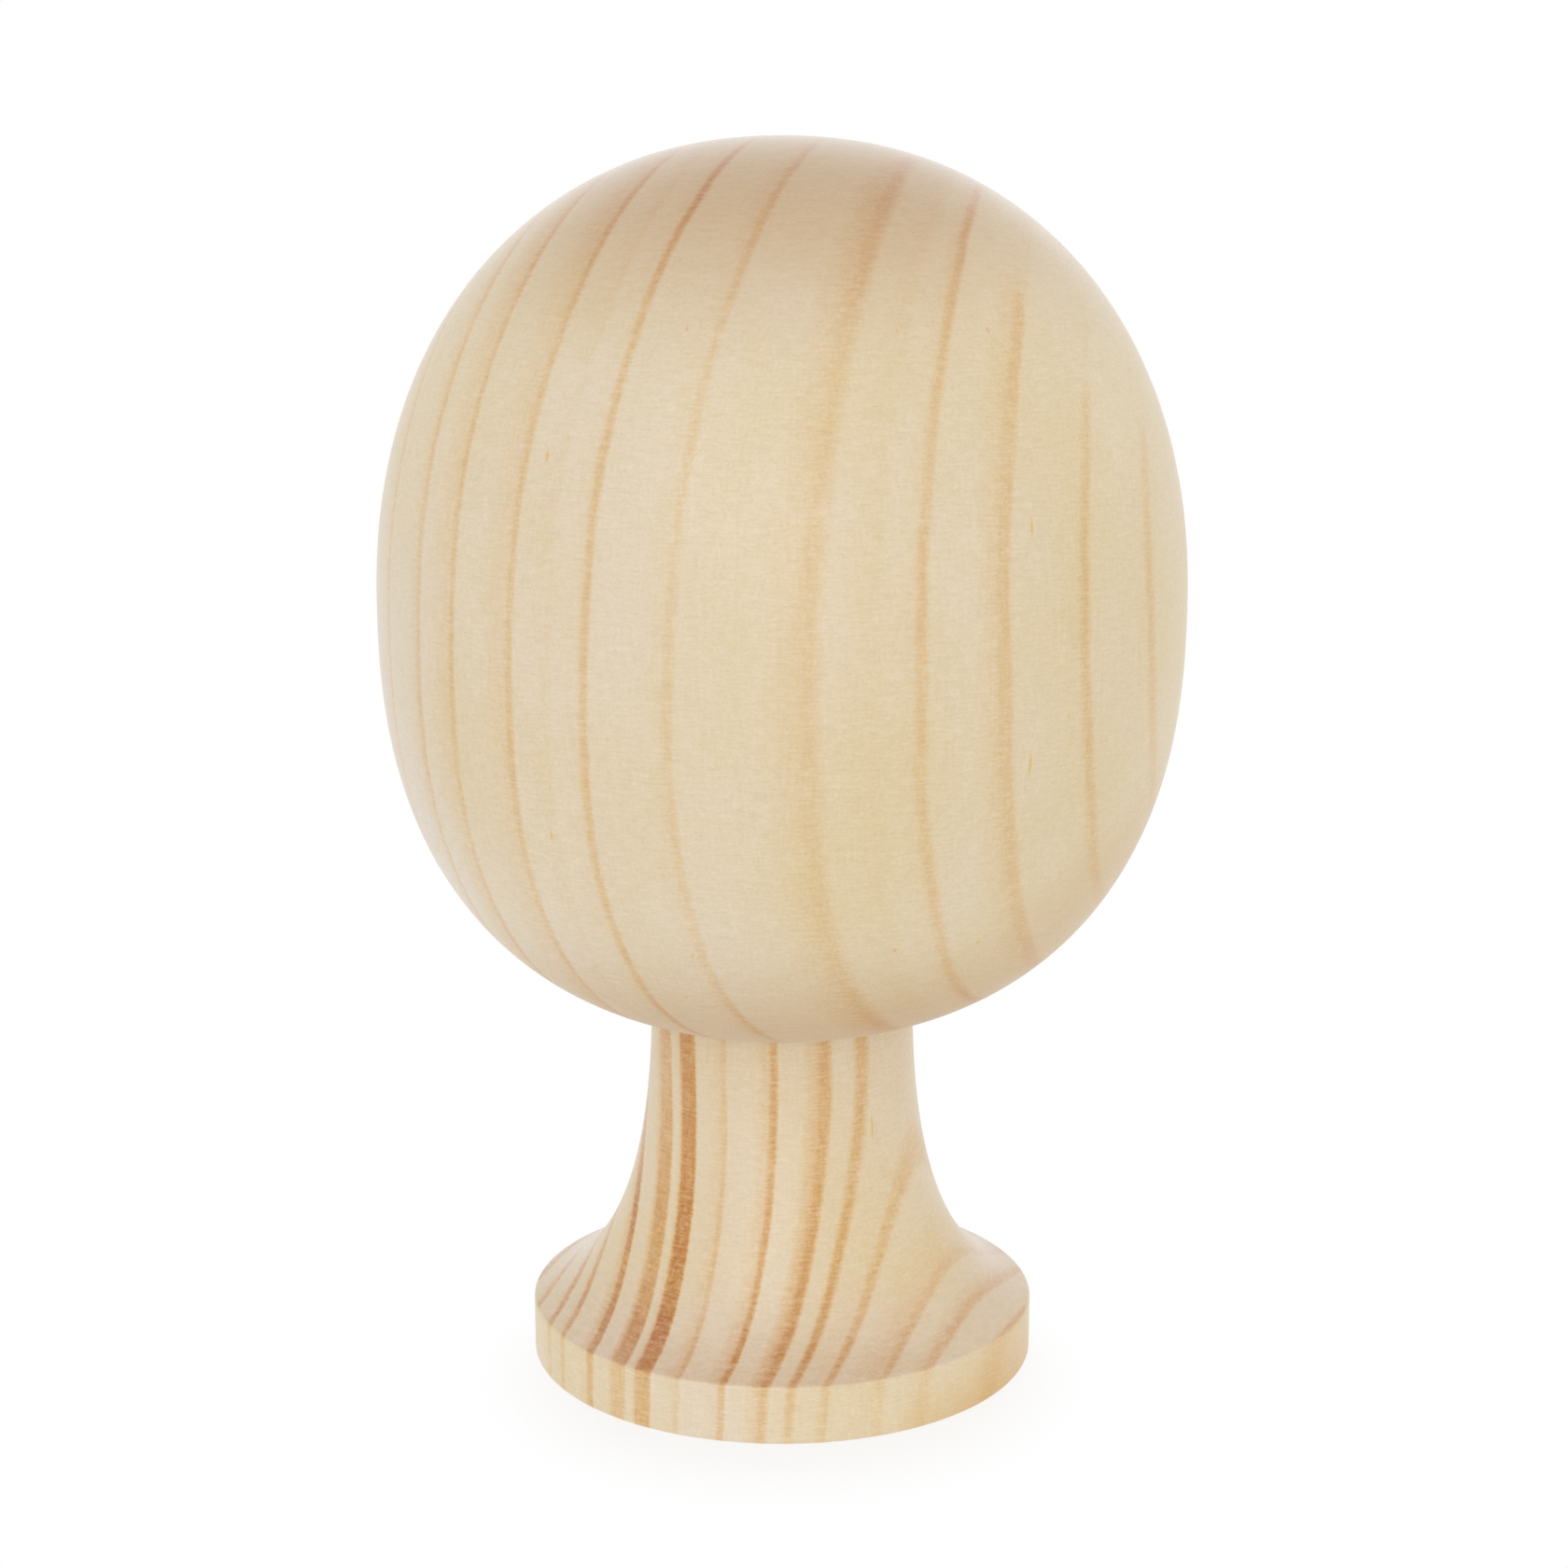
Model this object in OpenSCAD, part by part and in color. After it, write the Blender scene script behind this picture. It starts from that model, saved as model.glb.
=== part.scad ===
// A turned wooden ball, a little taller than wide, glued by a tenon to a flared round foot.
// Millimetres, +Z up along the turning axis, origin at the centre of the foot's underside.

/* [Ball] */
// Diameter at the widest point
ball_d = 78; // [50:0.5:120]
// Height from the flat seat under the ball to its top
ball_h = 84.4; // [60:0.1:130]
// Height of the widest point above the seat
belly_h = 40.5; // [25:0.1:55]
// Fullness of the upper half: 2 is an ellipse, more is fuller
upper_fullness = 2.17; // [1.7:0.01:3]
// Fullness of the lower half
lower_fullness = 2.38; // [1.7:0.01:3]

/* [Foot] */
// Height from the underside to the shoulder that carries the ball
foot_h = 35.6; // [20:0.1:70]
// Diameter of the disc
rim_d = 50.6; // [36:0.2:90]
// Height of the disc's upright side
rim_h = 5.7; // [2:0.1:12]
// Rounding of the disc's two edges
edge_r = 0.4; // [0.1:0.1:1.5]
// Diameter of the neck
neck_d = 26.1; // [18:0.1:40]
// Fullness of the hollow cove between neck and disc
cove_fullness = 2.67; // [1.7:0.01:4]
// How far outside the disc's edge the cove would run level
lip_overrun = 5.5; // [0.5:0.1:12]
// How far above the shoulder the cove would stand upright
neck_overrun = 4.4; // [0.5:0.1:12]

/* [Glued tenon] */
// Diameter of the tenon on the foot
tenon_d = 10; // [6:0.5:14]
// Length of the tenon
tenon_h = 18; // [8:1:40]
// Chamfer on the tenon's end
tenon_chamfer = 1; // [0.2:0.1:2.5]
// Gap for glue all round the tenon
glue_gap = 0.1; // [0.05:0.05:0.3]
// Room for glue past the tenon's end
end_gap = 2; // [0.5:0.5:6]
// Countersink at the mouth of the hole in the ball
mouth_chamfer = 0.8; // [0.2:0.1:1.5]
// Width of the ball's flat seat beyond the neck
seat_margin = 0.9; // [0.2:0.1:3]
// Point angle of the drill that bored the hole, in degrees
drill_angle = 118; // [90:1:140]

/* [Hidden] */
$fn = 120;

// Largest turn between two points of an outline, in degrees, and of a small rounding
turn_step = 3;
edge_step = 15;
// A cutting shape reaches this far past the face that it cuts
overcut = 1;

// Turns from one angle to another in equal steps, without the last, where the next stretch starts
function turns(start, end, step) =
    let (n = ceil(abs(end - start) / step))
    [for (i = [0 : n - 1]) start + (end - start) * i / n];

// A point on the unit curve that is a circle at fullness 2 and nears a square as the fullness grows
function oval(turn, fullness) = [cos(turn) ^ (2 / fullness), sin(turn) ^ (2 / fullness)];

// The turn at which that curve has a given width, and a given height
function turn_at_width(w, fullness) = acos(w ^ (fullness / 2));
function turn_at_height(h, fullness) = asin(h ^ (fullness / 2));

function scaled(p, size) = [p[0] * size[0], p[1] * size[1]];

function arc(centre, r, start, end) = [for (a = turns(start, end, edge_step)) centre + r * [cos(a), sin(a)]];

// Cove: a quarter of an oval around the point where its level and upright ends would meet
neck_r = neck_d / 2;
rim_r = rim_d / 2;
cove_c = [rim_r + lip_overrun, foot_h + neck_overrun];
cove_w = cove_c[0] - neck_r;
lip = oval(turn_at_width(lip_overrun / cove_w, cove_fullness), cove_fullness);
cove_h = (cove_c[1] - rim_h) / lip[1];
lip_angle = atan(cove_h / cove_w * (lip[0] / lip[1]) ^ (cove_fullness - 1));

// The rounding on top of the disc takes this much off its corner, along the side and along the cove
edge_cut = edge_r / tan((90 + lip_angle) / 2);
cove_edge_r = rim_r - edge_cut * cos(lip_angle);
edge_turn = turn_at_width((cove_c[0] - cove_edge_r) / cove_w, cove_fullness);
shoulder_turn = turn_at_height(neck_overrun / cove_h, cove_fullness);
shoulder = cove_c - scaled(oval(shoulder_turn, cove_fullness), [cove_w, cove_h]);

tenon_r = tenon_d / 2;
tenon_z = foot_h + tenon_h;

foot_outline = concat(
    [[0, 0]],
    arc([rim_r - edge_r, edge_r], edge_r, -90, 0),
    [[rim_r, edge_r]],
    arc([rim_r - edge_r, rim_h - edge_cut], edge_r, 0, 90 - lip_angle),
    [for (t = turns(edge_turn, shoulder_turn, turn_step))
        cove_c - scaled(oval(t, cove_fullness), [cove_w, cove_h])],
    [
        shoulder,
        [tenon_r, foot_h],
        [tenon_r, tenon_z - tenon_chamfer],
        [tenon_r - tenon_chamfer, tenon_z],
        [0, tenon_z]
    ]
);

// Ball: two half ovals that meet at the widest point; the lower one is cut off flat at the seat
ball_r = ball_d / 2;
belly_z = foot_h + belly_h;
top_z = foot_h + ball_h;
seat_turn = turn_at_width((shoulder[0] + seat_margin) / ball_r, lower_fullness);
lower_h = belly_h / oval(seat_turn, lower_fullness)[1];
upper_h = ball_h - belly_h;

ball_outline = concat(
    [[0, foot_h]],
    [for (t = turns(seat_turn, 0, turn_step))
        [0, belly_z] + scaled(oval(t, lower_fullness), [ball_r, -lower_h])],
    [for (t = turns(0, 90, turn_step))
        [0, belly_z] + scaled(oval(t, upper_fullness), [ball_r, upper_h])],
    [[0, top_z]]
);

hole_r = tenon_r + glue_gap;
hole_z = tenon_z + end_gap;
hole_tip_z = hole_z + hole_r / tan(drill_angle / 2);
mouth_r = hole_r + mouth_chamfer;

hole_outline = [
    [0, foot_h - overcut],
    [mouth_r, foot_h - overcut],
    [mouth_r, foot_h],
    [hole_r, foot_h + mouth_chamfer],
    [hole_r, hole_z],
    [0, hole_tip_z]
];

module ball() {
    color("wheat")
        difference() {
            rotate_extrude() polygon(ball_outline);
            rotate_extrude() polygon(hole_outline);
        }
}

module foot() {
    color("burlywood")
        rotate_extrude() polygon(foot_outline);
}

ball();
foot();
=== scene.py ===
"""A turned pine ball glued on a flared pine foot, dressed for a plain white studio view."""
import math

import bpy
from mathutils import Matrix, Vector


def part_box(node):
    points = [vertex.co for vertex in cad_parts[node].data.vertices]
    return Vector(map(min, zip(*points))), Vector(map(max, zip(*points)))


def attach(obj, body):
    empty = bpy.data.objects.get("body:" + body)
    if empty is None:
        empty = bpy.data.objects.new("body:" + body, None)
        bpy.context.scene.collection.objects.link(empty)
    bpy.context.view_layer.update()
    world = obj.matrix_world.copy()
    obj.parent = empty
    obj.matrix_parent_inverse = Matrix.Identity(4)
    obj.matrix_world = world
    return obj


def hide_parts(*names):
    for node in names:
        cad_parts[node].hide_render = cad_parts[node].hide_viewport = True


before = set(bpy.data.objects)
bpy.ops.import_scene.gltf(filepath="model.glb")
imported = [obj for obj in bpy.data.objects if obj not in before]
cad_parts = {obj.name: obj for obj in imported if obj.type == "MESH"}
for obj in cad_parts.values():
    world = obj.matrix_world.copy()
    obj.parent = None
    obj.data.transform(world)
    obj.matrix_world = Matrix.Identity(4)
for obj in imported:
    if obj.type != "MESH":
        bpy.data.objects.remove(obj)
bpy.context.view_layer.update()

MM = 0.001

# Turned outline: the source's named values, in metres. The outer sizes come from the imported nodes.
BELLY_H = 40.5 * MM
UPPER_FULLNESS = 2.17
LOWER_FULLNESS = 2.38
FOOT_H = 35.6 * MM
RIM_H = 5.7 * MM
EDGE_R = 0.4 * MM
NECK_D = 26.1 * MM
COVE_FULLNESS = 2.67
LIP_OVERRUN = 5.5 * MM
NECK_OVERRUN = 4.4 * MM
TENON_D = 10 * MM
TENON_CHAMFER = 1 * MM
GLUE_GAP = 0.1 * MM
END_GAP = 2 * MM
MOUTH_CHAMFER = 0.8 * MM
SEAT_MARGIN = 0.9 * MM
DRILL_ANGLE = math.radians(118)

# Mesh: sides of a turned solid, steps along its outline, and the turn from which a corner is sharp
SEGMENTS = 192
TURN_STEP = math.radians(1.5)
EDGE_STEP = math.radians(15)
SHARP_CORNER = math.radians(30)
# Distance from a rounded edge to the point that keeps the flat beside it flat
SUPPORT = 0.3 * MM
# Two points this close in height lie on one ring of a turned solid
SAME_HEIGHT = 0.001 * MM


def turns(start, end, step):
    """Angles from start to end in equal steps, without the last, where the next stretch starts."""
    n = math.ceil(abs(end - start) / step)
    return [start + (end - start) * i / n for i in range(n)]


def oval(turn, fullness):
    """A point on the unit curve that is a circle at fullness 2 and nears a square as the fullness grows."""
    return Vector((math.cos(turn) ** (2 / fullness), math.sin(turn) ** (2 / fullness)))


def turn_at_width(w, fullness):
    return math.acos(w ** (fullness / 2))


def turn_at_height(h, fullness):
    return math.asin(h ** (fullness / 2))


def arc(centre, r, start, end):
    return [centre + r * Vector((math.cos(a), math.sin(a))) for a in turns(start, end, EDGE_STEP)]


def foot_outline():
    """Half section of the foot, from the middle of its underside to the tenon's end, and its shoulder."""
    low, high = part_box("foot")
    rim_r = (high[0] - low[0]) / 2
    cove_c = Vector((rim_r + LIP_OVERRUN, FOOT_H + NECK_OVERRUN))
    cove_w = cove_c.x - NECK_D / 2
    lip = oval(turn_at_width(LIP_OVERRUN / cove_w, COVE_FULLNESS), COVE_FULLNESS)
    cove_h = (cove_c.y - RIM_H) / lip.y
    lip_angle = math.atan(cove_h / cove_w * (lip.x / lip.y) ** (COVE_FULLNESS - 1))
    edge_cut = EDGE_R / math.tan((math.pi / 2 + lip_angle) / 2)
    cove_edge_r = rim_r - edge_cut * math.cos(lip_angle)
    edge_turn = turn_at_width((cove_c.x - cove_edge_r) / cove_w, COVE_FULLNESS)
    shoulder_turn = turn_at_height(NECK_OVERRUN / cove_h, COVE_FULLNESS)

    def cove(turn):
        p = oval(turn, COVE_FULLNESS)
        return Vector((cove_c.x - cove_w * p.x, cove_c.y - cove_h * p.y))

    shoulder = cove(shoulder_turn)
    tenon_r = TENON_D / 2
    tenon_z = high[2]
    points = [Vector((0, 0)), Vector((rim_r - EDGE_R - SUPPORT, 0))]
    points += arc(Vector((rim_r - EDGE_R, EDGE_R)), EDGE_R, -math.pi / 2, 0)
    points += [
        Vector((rim_r, EDGE_R)),
        Vector((rim_r, EDGE_R + SUPPORT)),
        Vector((rim_r, RIM_H - edge_cut - SUPPORT)),
    ]
    points += arc(Vector((rim_r - EDGE_R, RIM_H - edge_cut)), EDGE_R, 0, math.pi / 2 - lip_angle)
    points += [cove(t) for t in turns(edge_turn, shoulder_turn, TURN_STEP)]
    points += [
        shoulder,
        Vector((tenon_r, FOOT_H)),
        Vector((tenon_r, tenon_z - TENON_CHAMFER)),
        Vector((tenon_r - TENON_CHAMFER, tenon_z)),
        Vector((0, tenon_z)),
    ]
    return points, shoulder


def ball_outline(shoulder):
    """Half section of the ball, from the tip of the drilled hole round its seat and outside to its top."""
    low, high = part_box("ball")
    ball_r = (high[0] - low[0]) / 2
    seat_z, top_z = low[2], high[2]
    belly_z = seat_z + BELLY_H
    seat_turn = turn_at_width((shoulder.x + SEAT_MARGIN) / ball_r, LOWER_FULLNESS)
    lower_h = BELLY_H / oval(seat_turn, LOWER_FULLNESS).y
    upper_h = top_z - belly_z
    hole_r = TENON_D / 2 + GLUE_GAP
    hole_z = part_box("foot")[1][2] + END_GAP
    points = [
        Vector((0, hole_z + hole_r / math.tan(DRILL_ANGLE / 2))),
        Vector((hole_r, hole_z)),
        Vector((hole_r, seat_z + MOUTH_CHAMFER)),
        Vector((hole_r + MOUTH_CHAMFER, seat_z)),
    ]
    for t in turns(seat_turn, 0, TURN_STEP):
        p = oval(t, LOWER_FULLNESS)
        points.append(Vector((ball_r * p.x, belly_z - lower_h * p.y)))
    for t in turns(0, math.pi / 2, TURN_STEP):
        p = oval(t, UPPER_FULLNESS)
        points.append(Vector((ball_r * p.x, belly_z + upper_h * p.y)))
    points.append(Vector((0, top_z)))
    return points


def lathe(name, outline):
    """A solid turned from an outline that starts and ends on the axis, smooth but for its real corners."""
    verts, rings = [], []
    for r, z in outline:
        if r == 0:
            rings.append([len(verts)] * SEGMENTS)
            verts.append((0, 0, z))
            continue
        rings.append(range(len(verts), len(verts) + SEGMENTS))
        for i in range(SEGMENTS):
            a = 2 * math.pi * i / SEGMENTS
            verts.append((r * math.cos(a), r * math.sin(a), z))
    faces = []
    for low, high in zip(rings, rings[1:]):
        for i in range(SEGMENTS):
            j = (i + 1) % SEGMENTS
            corners = [low[i], low[j], high[j], high[i]]
            faces.append(list(dict.fromkeys(corners)))
    mesh = bpy.data.meshes.new(name)
    mesh.from_pydata(verts, [], faces)
    mesh.shade_smooth()
    sharp = set()
    for k in range(1, len(outline) - 1):
        if (outline[k] - outline[k - 1]).angle(outline[k + 1] - outline[k]) > SHARP_CORNER:
            sharp.update(rings[k])
    for edge in mesh.edges:
        a, b = edge.vertices
        apart = abs(mesh.vertices[a].co.z - mesh.vertices[b].co.z)
        if a in sharp and b in sharp and apart < SAME_HEIGHT:
            edge.use_edge_sharp = True
    mesh.validate()
    piece = bpy.data.objects.new(name, mesh)
    bpy.context.collection.objects.link(piece)
    return piece


def srgb(r, g, b):
    """A colour from display values of 0 to 255, as linear RGB."""
    def linear(v):
        v /= 255
        return v / 12.92 if v <= 0.04045 else ((v + 0.055) / 1.055) ** 2.4
    return Vector((linear(r), linear(g), linear(b)))


def stain(before, after):
    """What each channel is multiplied by where a surface goes from one display colour to another."""
    return tuple(a / b for a, b in zip(srgb(*after), srgb(*before)))


class Graph:
    """Short names for the shader nodes of the materials. A value is a socket or a constant."""

    def __init__(self, tree):
        self.tree = tree

    def node(self, kind, **settings):
        made = self.tree.nodes.new(kind)
        for key, value in settings.items():
            setattr(made, key, value)
        return made

    def put(self, value, socket):
        if isinstance(value, bpy.types.NodeSocket):
            self.tree.links.new(value, socket)
        else:
            socket.default_value = value

    def math(self, operation, *values):
        made = self.node("ShaderNodeMath", operation=operation)
        for value, socket in zip(values, made.inputs):
            self.put(value, socket)
        return made.outputs[0]

    def vector(self, operation, *values):
        made = self.node("ShaderNodeVectorMath", operation=operation)
        for value, socket in zip(values, made.inputs):
            self.put(value, socket)
        return made.outputs[0]

    def distance(self, a, b):
        made = self.node("ShaderNodeVectorMath", operation="DISTANCE")
        self.put(a, made.inputs[0])
        self.put(b, made.inputs[1])
        return made.outputs["Value"]

    def add(self, *values):
        total = values[0]
        for value in values[1:]:
            total = self.math("ADD", total, value)
        return total

    def times(self, *values):
        total = values[0]
        for value in values[1:]:
            total = self.math("MULTIPLY", total, value)
        return total

    def less(self, value, taken):
        return self.math("SUBTRACT", value, taken)

    def shares(self, *parts):
        """The sum of some values, each times its share."""
        return self.add(*[self.times(value, share) for value, share in parts])

    def ramp(self, value, start, end, low=0.0, high=1.0, smooth=True):
        """low up to start, high from end on, and a smooth or straight run between them."""
        made = self.node("ShaderNodeMapRange", interpolation_type="SMOOTHSTEP" if smooth else "LINEAR")
        for item, socket in zip((value, start, end, low, high), made.inputs):
            self.put(item, socket)
        return made.outputs[0]

    def split(self, vector):
        made = self.node("ShaderNodeSeparateXYZ")
        self.put(vector, made.inputs[0])
        return made.outputs

    def noise(self, place, scale, detail=2.0):
        """Noise that mostly stays within -0.5 and 0.5."""
        made = self.node("ShaderNodeTexNoise", noise_dimensions="3D")
        self.put(self.vector("MULTIPLY", place, scale), made.inputs["Vector"])
        made.inputs["Scale"].default_value = 1
        made.inputs["Detail"].default_value = detail
        return self.math("MULTIPLY_ADD", made.outputs["Fac"], 2, -1)

    def stained(self, colour, factor, amount):
        """A colour with a stain on it: each channel of the factor is raised to the amount."""
        return self.vector("MULTIPLY", colour, self.vector("POWER", factor, amount))


# Stains on the pale spring wood, each from what it does to one display colour
SPRING = (226, 208, 178)
AMBER = stain(SPRING, (218, 167, 103))
BROWN = stain(SPRING, (210, 187, 155))
GRAIN = stain(SPRING, (217, 198, 161))
ROSE = stain((196, 140, 84), (191, 134, 88))
WARM = stain((226, 210, 185), (226, 208, 174))
RESIN = stain(SPRING, (224, 186, 120))

# Noise scales per mm along X, Y and Z. Sanding on the lathe runs round the axis, and the fibres run up it.
SANDING = (0.7, 0.7, 4.5)
FIBRE = (2.6, 2.6, 0.3)
SPECK = (3.5, 3.5, 4.5)
BLOTCH = (0.09, 0.09, 0.05)
RING_WANDER = (0.08, 0.08, 0.06)
RING_FRAY = (0.6, 0.6, 5.0)
RING_FADE = (0.06, 0.06, 0.08)
# How far the rings wander and fray, in mm
WANDER_BY = 0.25
FRAY_BY = 0.14
# Width in mm over which a ring's line darkens
LINE_RISE = 0.55
# A small spot high on the ball where the rings fade: its middle and radii in mm, and what is left of them
PALE_SPOT = (29, -14, 104)
PALE_RADII = (10, 14)
PALE_LEFT = 0.15
# End grain: rise of the surface's normal at which it starts and is full, above and below, and its share
# below, kept small as painted bounce light on the underside
CROWN_RISE = (0.4, 0.94)
UNDER_RISE = (-0.45, -0.95)
UNDER_SHARE_PAINTED_BOUNCE = 0.6
# What end grain adds to a ring's darkness, and how much less where the ring is dark already
END_GAIN = 1.2
END_LIMIT = 0.9
# Resin canals: how many per mm, their stray in times the rings' wander, their fray, and their radii in mm
CANALS = 0.07
CANAL_STRAY = 4
CANAL_FRAY = 0.2
CANAL_RADII = (0.05, 0.18)
# Surface: roughness of the sides, and height and strength of the bump
ROUGHNESS = 0.36
BUMP_HEIGHT = 0.04 * MM
BUMP_STRENGTH = 0.4


def ring_field(g, place, middle, f):
    """Distance through the growth rings in mm, counted outwards from the pith side, at a place in mm."""
    x, y, z = g.split(place)
    z = g.less(z, middle)
    c, s = math.cos(f["bearing"]), math.sin(f["bearing"])
    out = g.less(g.times(x, c), g.times(y, s))
    along = g.add(g.times(x, s), g.times(y, c))
    fan = g.add(1.0, g.times(along, f["fan"]), g.times(z, f["flare"]))
    bow = g.add(g.times(along, f["bow"] / 2), g.times(z, f["twist"]))
    lean = g.add(f["lean"], g.times(z, f["sweep"] / 2), g.times(z, z, f["bend"]))
    return g.add(g.times(out, fan), g.times(along, bow), g.times(z, lean))


def latewood(g, ring, rings):
    """Darkness of the summer wood: a soft lead from the pith side, a darker line, then a short fall."""
    total = 0.0
    for edge, band, lead, line, glow, fall in rings:
        start = edge - band
        soft = g.ramp(ring, start - lead, start, 0.0, glow, smooth=False)
        dark = g.ramp(ring, start - LINE_RISE, start, 0.0, line)
        ending = g.ramp(ring, edge, edge + fall, 1.0, 0.0)
        total = g.add(total, g.times(g.add(soft, dark), ending))
    return total


def foot_contrast(g, z):
    """How much the rings stand out by height in mm: most in the foot's cove, least on its disc's side."""
    cove = g.ramp(z, start=24, end=16, low=1.0, high=1.3)
    disc_top = g.ramp(z, start=9, end=14, low=0.72, high=1.0)
    disc_side = g.ramp(z, start=4, end=9, low=0.68, high=1.0)
    return g.times(cove, disc_top, disc_side)


def warmth_and_sheen(g, ring, level, pith_sheen_and_tint):
    """How much yellower than plain the wood is by ring, with the low part of the pith side set by the last
    argument: on the ball a whitening there that is painted sheen, on the foot a warmer tint of the wood.
    """
    pith_side = g.ramp(ring, start=-16, end=-3, low=0.7, high=0.0)
    heart = g.ramp(ring, start=4, end=18, low=-0.2, high=0.4)
    bark_side = g.ramp(ring, start=27, end=36, low=0.0, high=0.5)
    # Painted sheen on the ball, whose low pith side is whitened; on the foot a warmer tint of its wood
    low_pith_sheen_and_tint = g.ramp(ring, start=-18, end=-8, low=pith_sheen_and_tint, high=0.0)
    low_down = g.ramp(level, start=20, end=0)
    return g.add(pith_side, heart, bark_side, g.times(low_pith_sheen_and_tint, low_down))


def end_soak_and_sheen(g, ring):
    """How much of the end colour end grain takes up by ring: less towards the outside of the trunk and the
    pith. Towards the outside this is partly the wood and partly painted sheen of grazing light on the right.
    """
    # Partly painted sheen: less end colour where grazing light whitens the right of the top and of the disc
    bark_side = g.ramp(ring, start=16, end=26, low=1.0, high=0.55)
    pith_side = g.ramp(ring, start=-18, end=-7, low=0.5, high=1.0)
    return g.times(bark_side, pith_side)


def resin_canals(g, x, y, wander, speck):
    """1 inside the fine tubes that run along the fibres, 0 outside them."""
    flat = g.node("ShaderNodeCombineXYZ")
    g.put(g.add(x, g.times(wander, CANAL_STRAY)), flat.inputs[0])
    g.put(y, flat.inputs[1])
    cells = g.node("ShaderNodeTexVoronoi", voronoi_dimensions="2D")
    g.put(flat.outputs[0], cells.inputs["Vector"])
    cells.inputs["Scale"].default_value = CANALS
    tube = g.math("DIVIDE", cells.outputs["Distance"], CANALS)
    return g.ramp(g.add(tube, g.times(speck, CANAL_FRAY)), *CANAL_RADII, 1.0, 0.0)


def pine(name, pale, end, middle, field, outer_tint_and_light, rings):
    """Bare sanded pine, pale on its sides and of the end colour across the fibres.

    middle is the height of the piece's middle in mm. field, outer and rings are described below.
    """
    material = bpy.data.materials.new(name)
    material.use_nodes = True
    g = Graph(material.node_tree)
    shader = material.node_tree.nodes["Principled BSDF"]
    coords = g.node("ShaderNodeTexCoord")
    place = g.vector("MULTIPLY", coords.outputs["Object"], (1 / MM,) * 3)
    x, y, z = g.split(place)
    level = g.less(z, middle)

    sanding = g.noise(place, SANDING)
    fibre = g.noise(place, FIBRE, detail=3)
    speck = g.noise(place, SPECK)
    blotch = g.noise(place, BLOTCH, detail=3)

    # Rings wander a little, fray at their edges and darken and fade along the trunk
    wander = g.times(g.noise(place, RING_WANDER), WANDER_BY)
    fray = g.times(g.noise(place, RING_FRAY), FRAY_BY)
    ring = g.add(ring_field(g, place, middle, field), wander, fray)
    late = latewood(g, ring, rings)
    fade = g.noise(place, RING_FADE)
    uneven = g.shares((fade, 0.5), (sanding, 0.5), (speck, 0.3), (fibre, 0.3))

    # End grain, where the surface cuts across the fibres, soaks up more colour, most of all on top;
    # the smaller share underneath is painted bounce light from the floor and the foot
    rise = g.split(coords.outputs["Normal"])[2]
    crown = g.ramp(rise, *CROWN_RISE)
    # Painted bounce light: end grain underneath gets only part of the end colour
    under = g.ramp(rise, *UNDER_RISE, 0.0, UNDER_SHARE_PAINTED_BOUNCE)
    across = g.add(crown, under)
    sides = g.less(1.0, across)
    soaked = g.times(across, g.less(END_GAIN, g.times(late, END_LIMIT)))
    spot = g.ramp(g.distance(place, PALE_SPOT), *PALE_RADII, PALE_LEFT, 1.0)
    dark = g.times(late, g.add(1.0, uneven), g.add(1.0, soaked), foot_contrast(g, z), spot)

    # Colour: the outermost wood darkens low down. On the ball this is mostly painted shade on its lower
    # right, and on the foot it is a golden tint of the wood
    bark_tint_and_shade = g.times(g.ramp(g.less(ring, level), *outer_tint_and_light["span"]), sides)
    warm_and_painted_light = g.times(g.add(warmth_and_sheen(g, ring, level, outer_tint_and_light["pith_sheen_and_tint"]), bark_tint_and_shade, blotch), sides)
    resin = g.times(resin_canals(g, x, y, wander, speck), sides)
    grain = g.shares((sanding, 0.8), (speck, 0.9), (fibre, 0.4), (blotch, 0.4))
    colour = tuple(srgb(*pale))
    for factor, amount in (
        (AMBER, g.add(dark, g.times(bark_tint_and_shade, outer_tint_and_light["amber"]))),
        (BROWN, g.add(g.times(dark, dark), g.times(bark_tint_and_shade, outer_tint_and_light["brown"]))),
        (stain(pale, end), g.times(across, end_soak_and_sheen(g, ring))),
        (ROSE, g.times(dark, across)),
        (GRAIN, grain),
        (WARM, warm_and_painted_light),
        (RESIN, resin),
    ):
        colour = g.stained(colour, factor, amount)
    g.put(colour, shader.inputs["Base Color"])

    # Surface: glossier on the rings and on top, rougher underneath
    finish = g.shares((dark, -0.1), (crown, -0.16), (under, 0.4), (speck, 0.08))
    g.put(g.add(ROUGHNESS, finish), shader.inputs["Roughness"])
    shader.inputs["IOR"].default_value = 1.5
    shader.inputs["Sheen Weight"].default_value = 0.25
    shader.inputs["Sheen Roughness"].default_value = 0.3
    bump = g.node("ShaderNodeBump")
    bump.inputs["Strength"].default_value = BUMP_STRENGTH
    bump.inputs["Distance"].default_value = BUMP_HEIGHT
    g.put(g.shares((fibre, 0.4), (sanding, 0.6), (speck, 0.25)), bump.inputs["Height"])
    g.put(bump.outputs[0], shader.inputs["Normal"])
    return material


# Ring fields, in mm: bearing of the outward direction, and how the ring surfaces fan, bow and lean
BALL_FIELD = dict(
    bearing=math.radians(18), lean=0.041, bow=0.006, sweep=0.0008,
    twist=0.0018, fan=0.0062, flare=0.0008, bend=-1.8e-5,
)
FOOT_FIELD = dict(
    bearing=math.radians(20.8), lean=0.008, bow=0.0005, sweep=0.0018,
    twist=0.0014, fan=-0.0022, flare=-0.0031, bend=6e-6,
)
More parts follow.
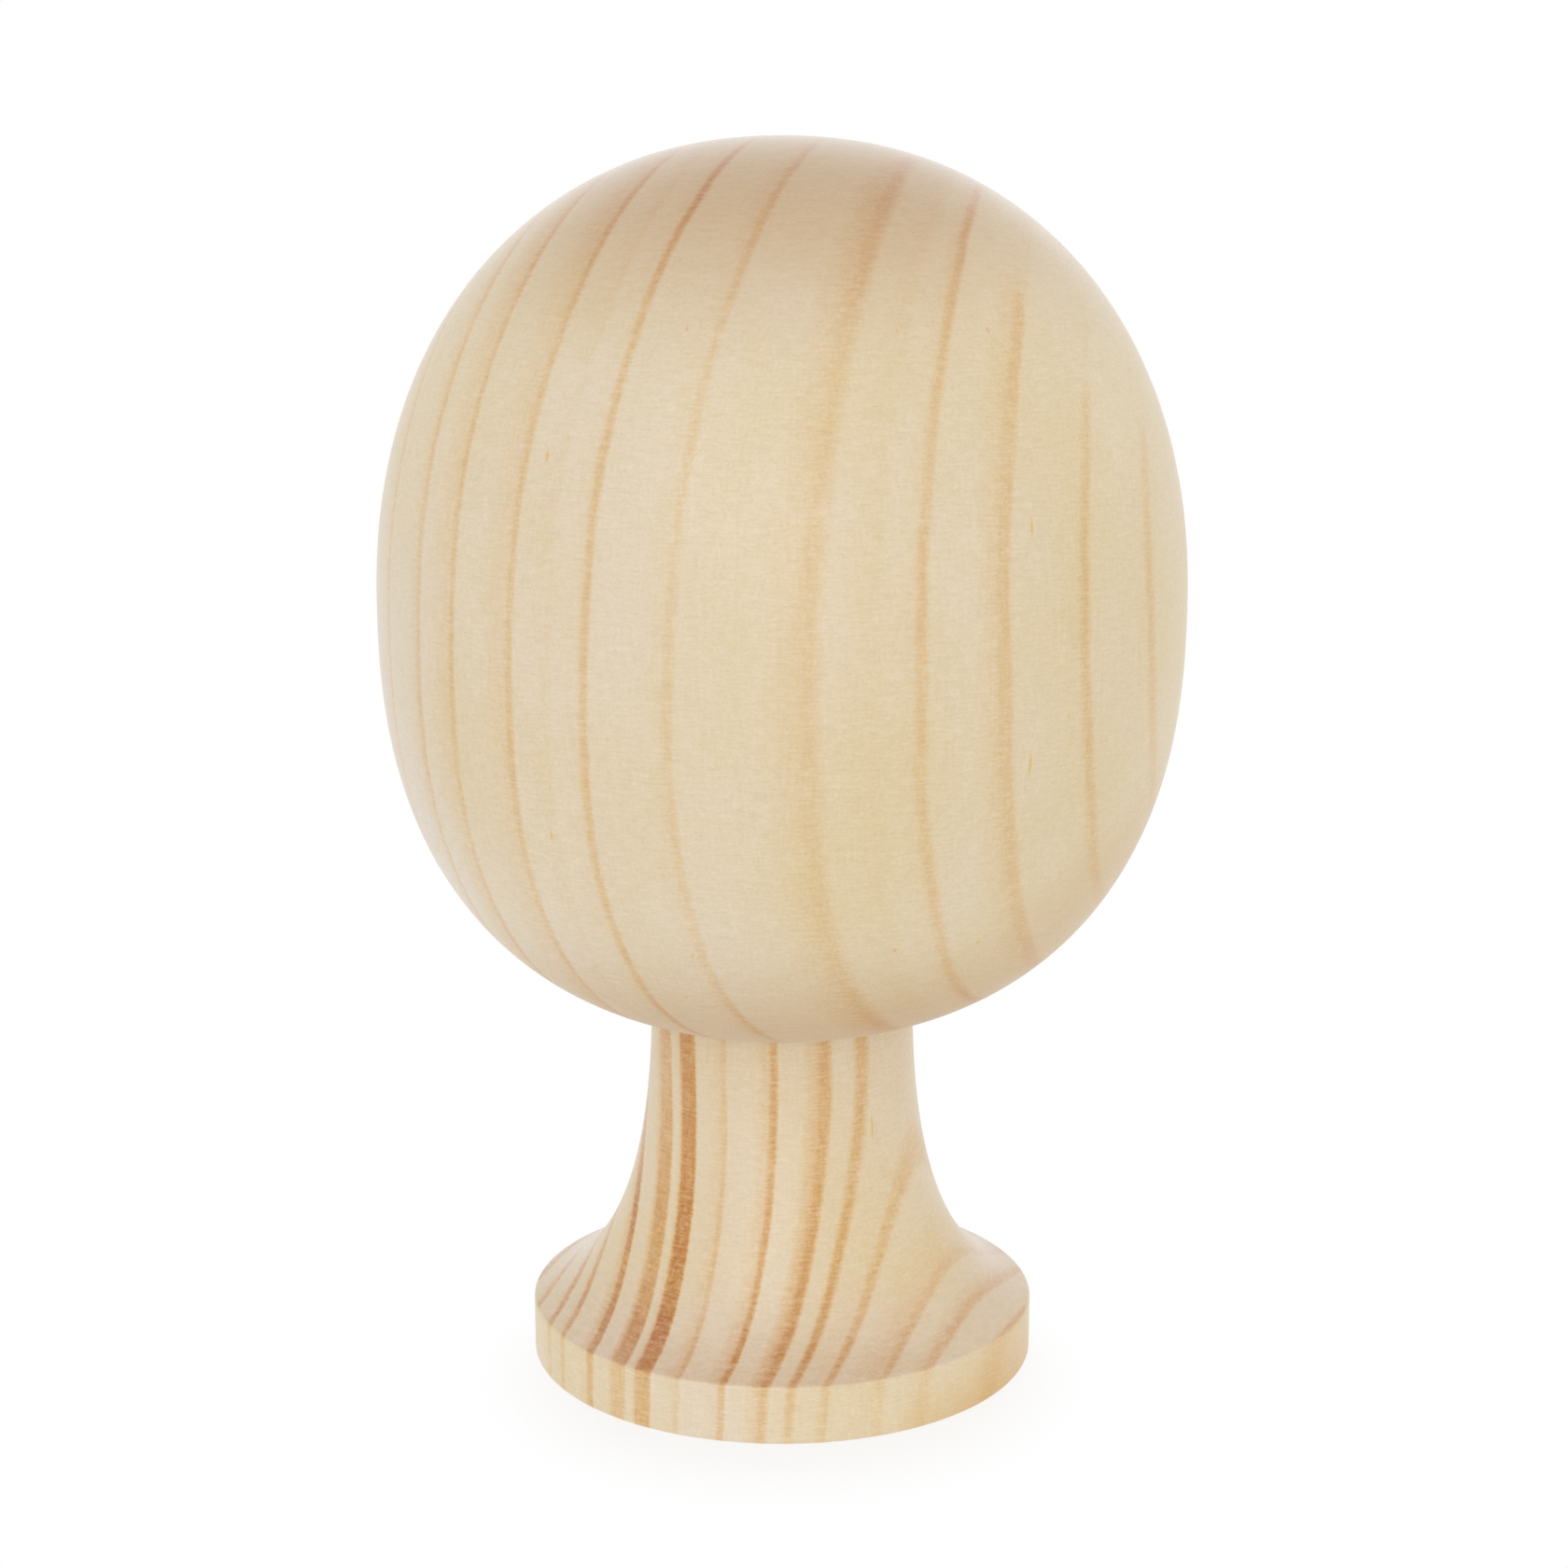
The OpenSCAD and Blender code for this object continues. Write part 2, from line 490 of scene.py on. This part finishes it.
# Outermost wood: the span of ring less level, in mm, over which it darkens, and how amber and brown it gets;
# on the ball this darkening is mostly painted shade on its lower right, on the foot a golden tint of the
# wood.
# Last, the tint low on the pith side: on the ball a whitening that is painted sheen, on the foot a warmer
# wood
BALL_OUTER_SHADE_AND_SHEEN = dict(span=(47, 59), amber=0.2, brown=0.75, pith_sheen_and_tint=-1.1)
FOOT_OUTER = dict(span=(28.5, 46), amber=0.9, brown=0.4, pith_sheen_and_tint=0.3)
# Each ring, in mm: its outer edge, the width of its dark band and of the lead before it,
# the darkness of its line and of its lead, and the width of the fall after it
BALL_RINGS = [
    (-42.0, 0.1, 2.4, 0.18, 0.10, 0.5),
    (-35.5, 0.1, 3.0, 0.16, 0.12, 0.5),
    (-29.0, 0.1, 2.0, 0.22, 0.08, 0.5),
    (-22.8, 0.1, 2.6, 0.20, 0.10, 0.5),
    (-16.6, 0.2, 1.8, 0.16, 0.17, 0.5),
    (-11.8, 0.1, 3.3, 0.18, 0.18, 0.5),
    (-5.5, 0.1, 3.2, 0.17, 0.16, 0.5),
    (-2.2, 0.2, 1.8, 0.00, 0.05, 0.5),
    (0.8, 0.1, 1.8, 0.30, 0.06, 0.5),
    (6.7, 0.1, 1.8, 0.13, 0.08, 0.5),
    (14.9, 0.3, 2.6, 0.06, 0.17, 1.0),
    (18.5, 0.3, 1.5, 0.00, 0.04, 0.5),
    (21.1, 0.1, 1.4, 0.20, 0.09, 0.5),
    (25.9, 0.3, 1.8, 0.11, 0.19, 0.5),
    (31.0, 0.1, 1.8, 0.25, 0.05, 0.5),
    (35.8, 0.1, 2.6, 0.22, 0.06, 0.5),
    (40.0, 0.1, 2.0, 0.20, 0.08, 0.5),
    (44.5, 0.1, 2.4, 0.18, 0.10, 0.5),
]
FOOT_RINGS = [
    (-30.0, 0.2, 1.4, 0.30, 0.15, 0.4),
    (-27.4, 0.2, 1.0, 0.25, 0.12, 0.4),
    (-24.6, 0.2, 1.2, 0.30, 0.14, 0.4),
    (-21.6, 0.2, 1.0, 0.32, 0.10, 0.4),
    (-18.4, 0.2, 1.0, 0.44, 0.12, 0.4),
    (-15.9, 0.2, 1.2, 0.42, 0.14, 0.4),
    (-11.4, 0.4, 1.6, 0.52, 0.34, 0.4),
    (-7.0, 1.3, 1.0, 0.18, 0.41, 0.4),
    (-3.95, 1.35, 0.9, 0.69, 0.24, 0.4),
    (-0.6, 0.1, 1.8, 0.13, 0.17, 0.4),
    (4.2, 0.2, 1.9, 0.42, 0.28, 0.4),
    (8.4, 0.3, 1.7, 0.14, 0.50, 0.6),
    (10.9, 0.2, 1.0, 0.46, 0.04, 0.6),
    (14.0, 0.2, 2.6, 0.26, 0.06, 0.5),
    (18.4, 0.2, 3.0, 0.10, 0.15, 0.5),
    (21.7, 0.3, 1.4, 0.08, 0.16, 0.5),
    (25.7, 0.2, 0.8, 0.18, 0.10, 0.4),
    (29.0, 0.2, 1.6, 0.14, 0.10, 0.4),
]
# The two blanks: display colours of the sides and of the end grain, and the height of the middle in mm
BALL_PINE = dict(pale=(226, 208, 176), end=(201, 171, 133), middle=76)
FOOT_PINE = dict(pale=(230, 211, 178), end=(226, 206, 180), middle=12)

outline, shoulder = foot_outline()
foot = lathe("turned_foot", outline)
ball = lathe("turned_ball", ball_outline(shoulder))
foot_pine = pine("foot_pine", **FOOT_PINE, field=FOOT_FIELD, outer_tint_and_light=FOOT_OUTER, rings=FOOT_RINGS)
ball_pine = pine("ball_pine", **BALL_PINE, field=BALL_FIELD, outer_tint_and_light=BALL_OUTER_SHADE_AND_SHEEN, rings=BALL_RINGS)
foot.data.materials.append(foot_pine)
ball.data.materials.append(ball_pine)
for piece, node in ((ball, "ball"), (foot, "foot")):
    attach(piece, "root")
    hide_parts(node)

# Studio: white to the eye, and plain pale light on the object from the floor and the room
WHITE = (1, 1, 1, 1)
FLOOR_HALF = 3.0
FLOOR_LIGHT = 0.86
ROOM_LIGHT = 0.72
# Weak shadow on the floor: its middle, the radii between which it fades out, and its depth
SHADOW_MIDDLE = (0, -8 * MM, 0)
SHADOW_RADII = (17 * MM, 32 * MM)
SHADOW_DEPTH = 0.28


def seen(g):
    """1 for what the eye sees straight, mirrored or through glass, 0 for light on the object."""
    path = g.node("ShaderNodeLightPath")
    rays = [path.outputs[kind] for kind in ("Is Camera Ray", "Is Glossy Ray", "Is Transmission Ray")]
    return g.math("MINIMUM", 1.0, g.add(*rays))


def white_floor():
    """White to the eye but for a weak shadow, which falls on a diffuse share under the object."""
    material = bpy.data.materials.new("floor_white")
    material.use_nodes = True
    g = Graph(material.node_tree)
    nodes = material.node_tree.nodes
    nodes.remove(nodes["Principled BSDF"])
    plain = g.node("ShaderNodeBsdfDiffuse")
    plain.inputs["Color"].default_value = WHITE
    glow = g.node("ShaderNodeEmission")
    g.put(g.ramp(seen(g), 0.0, 1.0, FLOOR_LIGHT, 1.0), glow.inputs["Strength"])
    spot = g.distance(g.node("ShaderNodeTexCoord").outputs["Object"], SHADOW_MIDDLE)
    own = g.times(seen(g), g.ramp(spot, *SHADOW_RADII, SHADOW_DEPTH, 0.0))
    blend = g.node("ShaderNodeMixShader")
    g.put(g.less(1.0, own), blend.inputs[0])
    g.put(plain.outputs[0], blend.inputs[1])
    g.put(glow.outputs[0], blend.inputs[2])
    g.put(blend.outputs[0], nodes["Material Output"].inputs["Surface"])
    return material


floor_corners = [(x * FLOOR_HALF, y * FLOOR_HALF, 0) for x, y in ((-1, -1), (1, -1), (1, 1), (-1, 1))]
floor_mesh = bpy.data.meshes.new("floor")
floor_mesh.from_pydata(floor_corners, [], [(0, 1, 2, 3)])
floor_mesh.materials.append(white_floor())
floor = bpy.data.objects.new("floor", floor_mesh)
bpy.context.collection.objects.link(floor)

world = bpy.data.worlds.new("studio")
bpy.context.scene.world = world
world.use_nodes = True
world_graph = Graph(world.node_tree)
sky = world.node_tree.nodes["Background"]
sky.inputs["Color"].default_value = WHITE
world_graph.put(world_graph.ramp(seen(world_graph), 0.0, 1.0, ROOM_LIGHT, 1.0), sky.inputs["Strength"])


def soft_box(name, place, aim, size, power):
    """A square lamp that looks at a point: place and side in metres, power in watts."""
    lamp = bpy.data.lights.new(name, "AREA")
    lamp.shape = "SQUARE"
    lamp.size = size
    lamp.energy = power
    lamp_object = bpy.data.objects.new(name, lamp)
    lamp_object.location = place
    lamp_object.rotation_euler = (Vector(aim) - Vector(place)).to_track_quat("-Z", "Y").to_euler()
    bpy.context.collection.objects.link(lamp_object)


soft_box("key", place=(-0.2, -0.75, 0.5), aim=(0, 0, 0.08), size=0.6, power=1.1)
soft_box("fill", place=(-0.05, -0.85, 0.1), aim=(0, 0, 0.03), size=0.6, power=0.95)
soft_box("back", place=(0, 0.8, 0.42), aim=(0, 0, 0.08), size=0.8, power=0.2)
soft_box("side", place=(0.65, 0.1, 0.42), aim=(0, 0, 0.06), size=0.6, power=0.4)

# Camera, fitted to the photograph's outline: its frame in pixels, the sensor's width in mm,
# its place in metres and its downward tilt in radians
FRAME_PX = 1680
FOCAL_PX = 2690
AXIS_PX = 838
SENSOR = 36
CAMERA_PLACE = (0, -243.6 * MM, 104.5 * MM)
CAMERA_TILT = 0.1889
CLIP_START = 0.01
camera_data = bpy.data.cameras.new("camera")
camera_data.sensor_width = SENSOR
camera_data.lens = FOCAL_PX / FRAME_PX * SENSOR
camera_data.shift_x = (FRAME_PX / 2 - AXIS_PX) / FRAME_PX
camera_data.clip_start = CLIP_START
camera = bpy.data.objects.new("camera", camera_data)
camera.location = CAMERA_PLACE
camera.rotation_euler = (math.pi / 2 - CAMERA_TILT, 0, 0)
bpy.context.collection.objects.link(camera)
bpy.context.scene.camera = camera
bpy.context.scene.view_settings.view_transform = "Standard"
